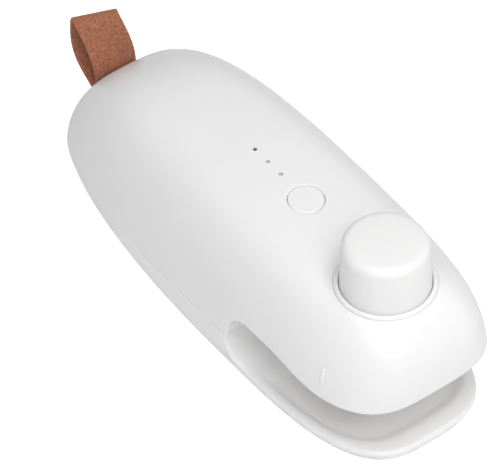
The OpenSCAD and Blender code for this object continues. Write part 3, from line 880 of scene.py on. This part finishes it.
def jaw_lining():
    """Inner lining of the upper jaw, close against the shell's wall, with the window for the heated head."""
    corner_x, corner_z = THROAT_X + ROOF_R, ROOF_Z - ROOF_R
    inner = [(THROAT_X, SEAM_Z + 0.05), (THROAT_X, corner_z)]
    turns = np.radians(np.linspace(180, 90, 13))
    inner += [(corner_x + ROOF_R * math.cos(a), corner_z + ROOF_R * math.sin(a)) for a in turns[1:]]
    length, steps = WIDE_X + NOSE_L - WALL - 0.4 - corner_x, 30
    inner += [(corner_x + length * math.sin(math.pi / 2 * k / steps), ROOF_Z) for k in range(1, steps + 1)]
    outer = [(x - PLATE_T, z) for x, z in inner[:2]]
    thick = ROOF_R + PLATE_T
    outer += [(corner_x + thick * math.cos(a), corner_z + thick * math.sin(a)) for a in turns[1:]]
    outer += [(x, z + PLATE_T) for x, z in inner[-steps:]]
    points = []
    for (x0, z0), (x1, z1) in zip(inner, outer):
        y0, y1 = (max(side_at(x, z) - WALL + 0.1, 0.3) for x, z in ((x0, z0), (x1, z1)))
        points += [(x0, -y0, z0), (x0, y0, z0), (x1, y1, z1), (x1, -y1, z1)]
    faces = loop_faces(4, len(inner))
    faces += [(0, 1, 2, 3), tuple(4 * len(inner) - k for k in (4, 3, 2, 1))]
    obj = new_piece("jaw_lining", points, faces)
    below, above = ROOF_Z - 2, ROOF_Z + PLATE_T + 2
    head_x, head_y = (heater_hi[:2] - heater_lo[:2]) / 2
    head = rounded_rectangle(head_x + 0.7, head_y + 0.4, 0.6)
    cuts = [prism([(KNOB_X + u, v) for u, v in head], below, above)]
    for x, y in JAW_SCREWS:
        cuts += [prism(circle(x, s * y, JAW_HOLE_R, 24), below, above) for s in (-1, 1)]
    carve(obj, cuts)
    return finish_piece(obj, "inner_plastic", "casing", "jaw_plate")


def pad_seat():
    """Holder on the lower jaw, with round corners, a pocket for the silicone pad and two screw holes."""
    half_x, half_y = (holder_hi[:2] - holder_lo[:2]) / 2
    ring = [(KNOB_X + u, v) for u, v in rounded_rectangle(half_x, half_y, 3.8, 8)]
    obj = new_piece("pad_seat", *prism(ring, holder_lo[2], holder_hi[2]))
    half_x, half_y = (pad_hi[:2] - pad_lo[:2]) / 2 + 0.05
    pocket = [(KNOB_X + u, v) for u, v in rounded_rectangle(half_x, half_y, 0.3)]
    above = holder_hi[2] + 1
    carve(obj, [prism(pocket, pad_lo[2] - 0.02, above)])
    screws = (-HOLDER_SCREW_Y, HOLDER_SCREW_Y)
    carve(obj, [prism(circle(KNOB_X, y, HOLDER_HOLE_R, 24), holder_lo[2] - 1, above) for y in screws])
    soften(obj, 0.4)
    return finish_piece(obj, "inner_plastic", "casing", "pad_holder")


def seal_mark(name, side):
    """Small raised mark on the upper jaw that shows where the seal is made."""
    x, wide, proud = KNOB_X + 4.5, 0.6, 0.5
    low, high = ROOF_Z + 2.2, ROOF_Z + 6.8
    points, faces = [], []
    along, round_ = 14, 8
    for i in range(along + 1):
        z = low + (high - low) * i / along
        y = side_at(x, z)
        lean = side_at(x, z - 0.5) - side_at(x, z + 0.5)
        out = Vector((0, 1, lean)).normalized()
        end = min(i, along - i) / 2.0
        size = math.sqrt(max(0.0, 1 - max(0.0, 1 - end) ** 2)) if end < 1 else 1.0
        size = max(size, 0.2)
        for k in range(round_ + 1):
            a = math.pi * k / round_
            lift = proud * size * math.sin(a) - 0.1
            points.append((x + wide * size * math.cos(a), side * (y + lift * out.y), z + lift * out.z))
    step = round_ + 1
    for i in range(along):
        for k in range(round_):
            a = i * step + k
            faces.append((a, a + 1, a + 1 + step, a + step))
        faces.append((i * step, i * step + step, i * step + 2 * step - 1, i * step + step - 1))
    faces.append(tuple(range(step)))
    faces.append(tuple(along * step + k for k in range(step)))
    return finish_piece(new_piece(name, points, faces), "shell", "casing")


def side_at(x, z):
    """Half width of the dome's outer face at x and height z."""
    h = (z - SEAM_Z) / (float(crown(np.array(x))) - SEAM_Z)
    reach = NOSE_L * float(draw_in(np.array(h), NOSE_PQ))
    side = HALF_W * float(draw_in(np.array(h), SIDE_PQ))
    return side * max(0.0, 1 - (abs(x - WIDE_X) / reach) ** NOSE_N) ** (1 / NOSE_N)


# ---- Knob, collar, button and lights ----


def press_knob():
    """Press knob: tapered skirt, soft top edge, hollow inside with a boss for the stem."""
    top_r = KNOB_R * KNOB_TAPER
    foot, roof = knob_lo[2], KNOB_TOP - KNOB_WALL
    crown_lift = 0.25
    profile = [(0, KNOB_TOP)]
    profile += [(r, KNOB_TOP - crown_lift * (r / top_r) ** 2.5) for r in (2.5, 5, 7.2)]
    profile += arc((top_r - KNOB_EDGE, KNOB_TOP - crown_lift - KNOB_EDGE + 0.04), KNOB_EDGE, 84, 2, 12)
    profile += [(KNOB_R, collar_hi[2] - 1), (KNOB_R, foot + 0.3), (KNOB_R - 0.3, foot)]
    inner, boss = top_r - KNOB_WALL, STEM_R + 1.8
    boss_low = guide_hi[2] + 10.4
    profile += [(inner, foot), (inner, roof - 0.8), (inner - 0.8, roof), (boss, roof)]
    profile += [(boss, boss_low), (STEM_R + 0.05, boss_low), (STEM_R + 0.05, stem_hi[2] + 0.05)]
    profile += [(0, stem_hi[2] + 0.05)]
    return finish_piece(lathe("knob_cap", profile, (KNOB_X, 0)), "knob", "press", "press_knob")


def return_coil():
    """Return spring of round wire with closed end turns."""
    coil_r = (spring_hi[0] - spring_lo[0]) / 2 - SPRING_WIRE
    low, high = spring_lo[2] + SPRING_WIRE, spring_hi[2] - SPRING_WIRE
    turns = np.linspace(0, SPRING_TURNS, SPRING_TURNS * 40 + 1)
    end_rise, sides = 2.1 * SPRING_WIRE, 12
    stops = [low, low + end_rise, high - end_rise, high]
    heights = np.interp(turns, [0, 1, SPRING_TURNS - 1, SPRING_TURNS], stops)
    points = []
    for turn, z in zip(turns, heights):
        a = 2 * math.pi * turn
        for u, v in circle(coil_r, z, SPRING_WIRE, sides):
            points.append((KNOB_X + u * math.cos(a), u * math.sin(a), v))
    faces = loop_faces(sides, len(turns))
    faces += [tuple(range(sides)), tuple(len(points) - 1 - k for k in range(sides))]
    obj = new_piece("return_coil", points, faces, 60)
    finish_piece(obj, "spring_steel", "casing", "return_spring")
    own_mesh(obj)


def knob_collar():
    """Guide collar with a round bead that stands proud of the casing."""
    bead = (COLLAR_R - KNOB_R - 0.12) / 2
    middle = COLLAR_R - bead
    top = collar_hi[2]
    profile = [(middle - bead, collar_lo[2]), (COLLAR_R, collar_lo[2])]
    profile += arc((middle, top - bead), bead, 0, 180, 14)
    return finish_piece(lathe("collar_ring", profile, (KNOB_X, 0)), "shell", "casing", "knob_collar")


def power_button():
    """Flush power button whose top follows the dome, with its flange and foot below."""
    steps, soft, drop = 96, 0.35, 0.04
    way = np.linspace(0, 2 * math.pi, steps, endpoint=False)
    top_rings = [(r, 0.0) for r in np.linspace(0.6, BUTTON_R - soft, 8)]
    top_rings += [
        (BUTTON_R - soft * (1 - math.sin(a)), soft * (1 - math.cos(a)))
        for a in np.radians([22.5, 45, 67.5, 90])
    ]
    rows = []
    for r, down in top_rings:
        x, y = BUTTON_X + r * np.cos(way), r * np.sin(way)
        rows.append(np.stack([x, y, dome_z(x, y) - drop - down], -1))
    flange = BUTTON_R + 1.1
    low = button_lo[2] + 0.13
    for r, z in ((BUTTON_R, low + 0.8), (flange, low + 0.8), (flange, low), (1.5, low), (1.5, button_lo[2])):
        rows.append(np.stack([BUTTON_X + r * np.cos(way), r * np.sin(way), z + 0 * way], -1))
    points = np.concatenate(rows)
    faces = loop_faces(steps, len(rows))
    tip, foot = len(points), len(points) + 1
    ends = [[BUTTON_X, 0, float(dome_z(BUTTON_X, 0)) - drop], [BUTTON_X, 0, button_lo[2]]]
    points = np.concatenate([points, ends])
    last = (len(rows) - 1) * steps
    faces += [(tip, i, (i + 1) % steps) for i in range(steps)]
    faces += [(foot, last + (i + 1) % steps, last + i) for i in range(steps)]
    obj = new_piece("button_cap", points, faces)
    return finish_piece(obj, "shell", "power_key", "power_button")


def light_guides():
    """Clear light guides: a bar with three pins that end in round lenses; the rear pin is smoked."""
    for i in range(LIGHT_COUNT):
        x = LIGHT_X + i * LIGHT_PITCH
        top = float(dome_z(x, 0)) + 0.02
        profile = [(0, top), (LIGHT_R * 0.5, top - 0.03), (LIGHT_R * 0.85, top - 0.12), (LIGHT_R, top - 0.3)]
        profile += [(LIGHT_R, pipe_lo[2]), (0, pipe_lo[2])]
        pin = finish_piece(lathe(f"light_guide_{i}", profile, (x, 0), 32), "clear", "casing")
        if i == 0:
            pin.data.materials[0] = MATERIALS["smoked"]
    ring = rounded_rectangle((pipe_hi[0] - pipe_lo[0]) / 2, (pipe_hi[1] - pipe_lo[1]) / 2, 0.6)
    middle = (pipe_lo[0] + pipe_hi[0]) / 2
    points, faces = prism([(middle + u, v) for u, v in ring], pipe_hi[2] - 2.6, pipe_hi[2] - 1.6)
    return finish_piece(new_piece("light_guide_bar", points, faces), "clear", "casing", "light_pipe")


# ---- Strap ----


def strap_path(length, thick):
    """Side view of the loop's middle line: round the pin, pinched at the slot, bellied, then folded."""
    pin_r, fold_r = PIN_SLEEVE_R + thick / 2, 2.1 + thick / 2
    fold = length - fold_r - thick / 2
    share = np.linspace(0, 1, 40)[1:-1]
    pinch = 1.3 * np.exp(-(((share - 0.34) / 0.15) ** 2))
    belly = np.sin(math.pi * np.clip((share - 0.3) / 0.7, 0, 1) ** 1.3)
    gap = pin_r + (fold_r - pin_r) * share - pinch
    front = np.column_stack([gap + 0.8 * belly, share * fold])
    back = np.column_stack([-gap - 2.6 * belly, share * fold])
    round_pin = [(-pin_r * math.cos(a), -pin_r * math.sin(a)) for a in np.linspace(0, math.pi, 17)]
    round_fold = [
        (fold_r * math.cos(a), fold + fold_r * math.sin(a)) for a in np.linspace(0, math.pi, 15)
    ]
    return np.concatenate([round_pin, front, round_fold, back[::-1]])


def wrist_strap():
    """Leather loop round its pin, leaning back and slightly twisted, with rounded cut edges."""
    half_w = (strap_hi[1] - strap_lo[1]) / 2
    thick, lean, twist = 1.15, math.radians(16), math.radians(-22)
    length = (strap_hi[2] - PIN[2]) / math.cos(lean)
    path = strap_path(length, thick)
    pinned = PIN_SLEEVE_R + thick / 2
    ahead = np.roll(path, -1, 0) - np.roll(path, 1, 0)
    out = unit(np.stack([ahead[:, 1], -ahead[:, 0]], -1))
    section = subdivide_ring(rounded_rectangle(half_w, thick / 2, 0.35, 4), 0.8)
    points = []
    for (u, v), (nu, nv) in zip(path, out):
        for y, n in section:
            along, across = v + n * nv, u + n * nu
            turn = twist * float(ease((along / length - 0.25) / 0.75))
            px = across * math.cos(turn) - y * math.sin(turn)
            py = across * math.sin(turn) + y * math.cos(turn)
            risen = (along / length - 0.3) / 0.7
            eased = float(ease(risen))
            bow = math.sin(math.pi * min(max(risen, 0), 1) ** 1.4)
            py += bow * (1.0 if u > 0 else -1.3) * min(abs(u) / pinned, 1)
            py += 0.4 - 0.9 * eased
            along -= (y + half_w) * 0.09 * eased
            x = PIN[0] + px * math.cos(lean) - along * math.sin(lean)
            points.append((x, py, PIN[2] + px * math.sin(lean) + along * math.cos(lean)))
    obj = new_piece("strap_loop", points, loop_faces(len(section), len(path), True), 60)
    return finish_piece(obj, "leather", "strap", "wrist_strap")


def subdivide_ring(ring, step):
    """The ring with extra points so that no side is longer than step."""
    made = []
    for p, q in zip(ring, ring[1:] + ring[:1]):
        count = max(1, math.ceil(math.dist(p, q) / step))
        for k in range(count):
            made.append((p[0] + (q[0] - p[0]) * k / count, p[1] + (q[1] - p[1]) * k / count))
    return made


# ---- CAD nodes that are shown as they are ----

# Bevel width on each, in mm
SOFTENED = {
    "plunger_stem": 0.2,
    "plunger_guide": 0.3,
    "heater_carrier": 0.4,
    "heating_element": 0.08,
    "ptfe_cover": 0.1,
    "silicone_pad": 0.3,
    "tact_switch": 0.15,
    "switch_plunger": 0.1,
    "indicator_leds": 0.1,
    "main_board": 0.1,
    "board_chips": 0.12,
    "charge_board": 0.1,
    "battery_tray": 0.3,
    "case_screws": 0.12,
    "jaw_screws": 0.12,
    "guide_screws": 0.12,
    "board_screws": 0.12,
    "base_pad": 0.2,
    "strap_pin": 0.2,
}


def dress_cad_nodes():
    """Procedural materials on every CAD node still shown, and softened edges on the moulded ones."""
    slots = {p["node"]: p["material_slot"] for p in frame["record"]["subparts"]}
    for name, obj in frame["nodes"].items():
        if obj.hide_render:
            continue
        obj.data.materials.clear()
        obj.data.materials.append(MATERIALS[slots[name]])
        if name in SOFTENED:
            soften(obj, SOFTENED[name])


# ---- Studio ----


def stage_floor():
    """Plain pale floor."""
    bpy.ops.mesh.primitive_plane_add(size=12, location=(0, 0, -0.0002))
    floor = bpy.context.object
    floor.name = "floor"
    material = bpy.data.materials.new("floor")
    material.use_nodes = True
    body = material.node_tree.nodes["Principled BSDF"]
    body.inputs["Base Color"].default_value = (0.95, 0.95, 0.95, 1)
    body.inputs["Roughness"].default_value = 0.9
    body.inputs["Specular IOR Level"].default_value = 0.0
    body.inputs["Emission Color"].default_value = (1, 1, 1, 1)
    seen = material.node_tree.nodes.new("ShaderNodeLightPath")
    glow = material.node_tree.nodes.new("ShaderNodeMath")
    glow.operation = "MULTIPLY"
    glow.inputs[1].default_value = 0.7
    material.node_tree.links.new(seen.outputs["Is Camera Ray"], glow.inputs[0])
    material.node_tree.links.new(glow.outputs[0], body.inputs["Emission Strength"])
    floor.data.materials.append(material)


def area_light(name, place, size, power):
    """Soft square light aimed at the middle of the casing."""
    data = bpy.data.lights.new(name, "AREA")
    data.shape, data.size, data.energy = "SQUARE", size, power
    light = bpy.data.objects.new(name, data)
    light.location = place
    aim = Vector((0, 0, 0.025)) - Vector(place)
    light.rotation_euler = aim.to_track_quat("-Z", "Y").to_euler()
    bpy.context.scene.collection.objects.link(light)


def studio_light():
    """Bright, soft light: pale surroundings, a large lamp above, weaker ones in front and at the far side."""
    world = bpy.data.worlds.new("studio")
    world.use_nodes = True
    world.node_tree.nodes["Background"].inputs["Color"].default_value = (1, 1, 1, 1)
    world.node_tree.nodes["Background"].inputs["Strength"].default_value = 0.25
    bpy.context.scene.world = world
    area_light("lamp_above", (0.35, -0.15, 1.0), 0.9, 8.2)
    area_light("lamp_front", (0.85, -0.3, 0.75), 1.0, 3.0)
    area_light("lamp_side", (0.3, 0.9, 0.5), 0.8, 1.1)


def camera():
    """Camera at the reference viewing angle; distance and target in metres."""
    azimuth, elevation, roll = (math.radians(a) for a in (54.98, 46.15, -2.29))
    distance, target = 0.987, Vector((-0.00468, -0.00416, 0.020))
    back = Vector(
        (
            math.sin(azimuth) * math.cos(elevation),
            -math.cos(azimuth) * math.cos(elevation),
            math.sin(elevation),
        )
    )
    right = Vector((math.cos(azimuth), math.sin(azimuth), 0))
    up = back.cross(right)
    tilted = right * math.cos(roll) + up * math.sin(roll)
    data = bpy.data.cameras.new("camera")
    data.lens, data.sensor_width = 268.9, 36.0
    data.clip_start, data.clip_end = 0.01, 100
    cam = bpy.data.objects.new("camera", data)
    bpy.context.scene.collection.objects.link(cam)
    turn = Matrix((tilted, back.cross(tilted), back)).transposed().to_4x4()
    cam.matrix_world = Matrix.Translation(target + back * distance) @ turn
    bpy.context.scene.camera = cam


upper_shell()
lower_shell()
jaw_lining()
pad_seat()
seal_mark("seal_mark_left", -1)
seal_mark("seal_mark_right", 1)
press_knob()
return_coil()
knob_collar()
power_button()
light_guides()
wrist_strap()
dress_cad_nodes()
stage_floor()
studio_light()
camera()
bpy.context.scene.view_settings.view_transform = "Standard"
